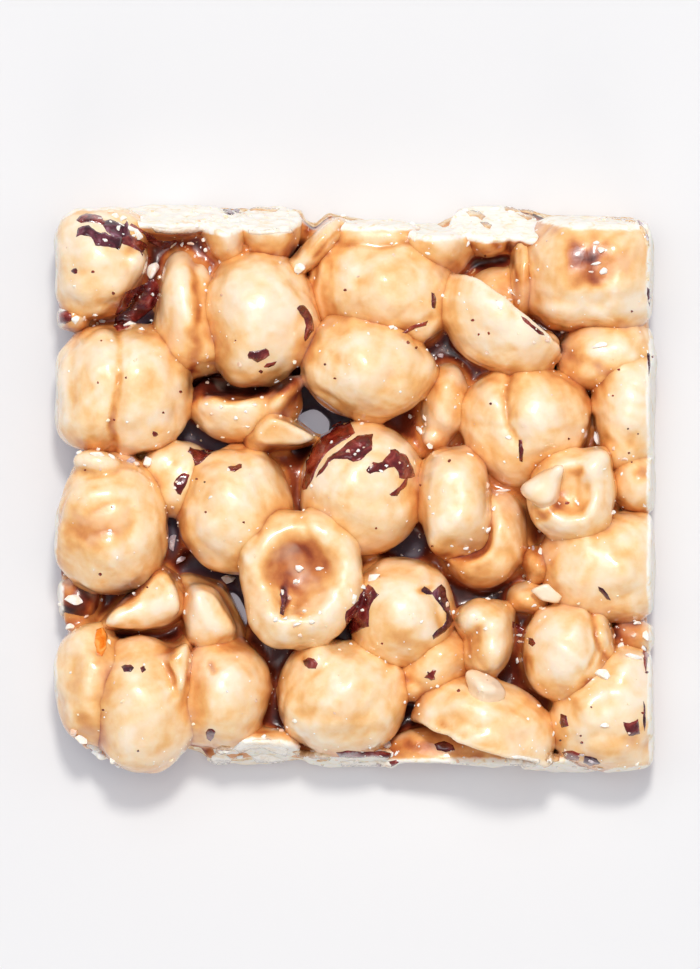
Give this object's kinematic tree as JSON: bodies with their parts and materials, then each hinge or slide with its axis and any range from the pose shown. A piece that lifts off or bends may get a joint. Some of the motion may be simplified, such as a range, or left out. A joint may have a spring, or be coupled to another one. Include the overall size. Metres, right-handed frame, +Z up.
{
  "type": "florentine",
  "caption": "Square bar of whole toasted nuts pressed into caramel, two sides cut and the others moulded.",
  "frame": {"origin": "middle of the underside, on the surface that the bar lies on", "axes": "+Z up, +X to the bar's right and +Y to its far side as seen from above in the picture"},
  "size_m": [0.0722, 0.0685, 0.0172],
  "materials": {
    "glazed_nut": "toasted nut under a thin glossy caramel glaze, cream on the crowns and orange in the folds",
    "cut_nut": "cut and crumbled nut flesh, cream white and dull",
    "caramel": "hard clear caramel, glossy, amber to dark brown where it is deep"
  },
  "bodies": {
    "root": {"bit_e": "glazed_nut", "bit_s": "glazed_nut", "bit_se": "cut_nut", "bit_w": "cut_nut", "caramel": "caramel", "chip_e": "glazed_nut", "crescent_c": "glazed_nut", "cup_centre": "glazed_nut", "cup_e": "glazed_nut", "cup_inner": "glazed_nut", "edge_n1": "cut_nut", "edge_n2": "cut_nut", "edge_n3": "cut_nut", "edge_n4": "cut_nut", "edge_s1": "cut_nut", "edge_s2": "cut_nut", "edge_s3": "cut_nut", "edge_s4": "cut_nut", "edge_w": "cut_nut", "flap_e": "glazed_nut", "half_c": "glazed_nut", "half_ne": "glazed_nut", "half_s": "glazed_nut", "lobe_n": "glazed_nut", "nut_c_low": "glazed_nut", "nut_centre": "glazed_nut", "nut_centre_n": "glazed_nut", "nut_corner_ne": "glazed_nut", "nut_corner_nw": "glazed_nut", "nut_corner_se": "glazed_nut", "nut_e1": "glazed_nut", "nut_e1_tail": "glazed_nut", "nut_e2": "glazed_nut", "nut_e3": "glazed_nut", "nut_e_low": "glazed_nut", "nut_e_low2": "glazed_nut", "nut_n1": "glazed_nut", "nut_n2": "glazed_nut", "nut_n3": "glazed_nut", "nut_n_low": "glazed_nut", "nut_s1": "glazed_nut", "nut_s2": "glazed_nut", "nut_s3": "glazed_nut", "nut_s3_low": "glazed_nut", "nut_s5": "glazed_nut", "nut_split_w": "glazed_nut", "nut_sw": "glazed_nut", "nut_sw_low": "glazed_nut", "nut_w2": "glazed_nut", "nut_w_low": "glazed_nut", "nut_west": "glazed_nut", "peanut_s": "glazed_nut", "shard_inner": "glazed_nut", "sliver_n": "glazed_nut", "wall_n": "glazed_nut", "wedge_w": "glazed_nut", "wedge_w2": "glazed_nut"}
  },
  "joints": []
}
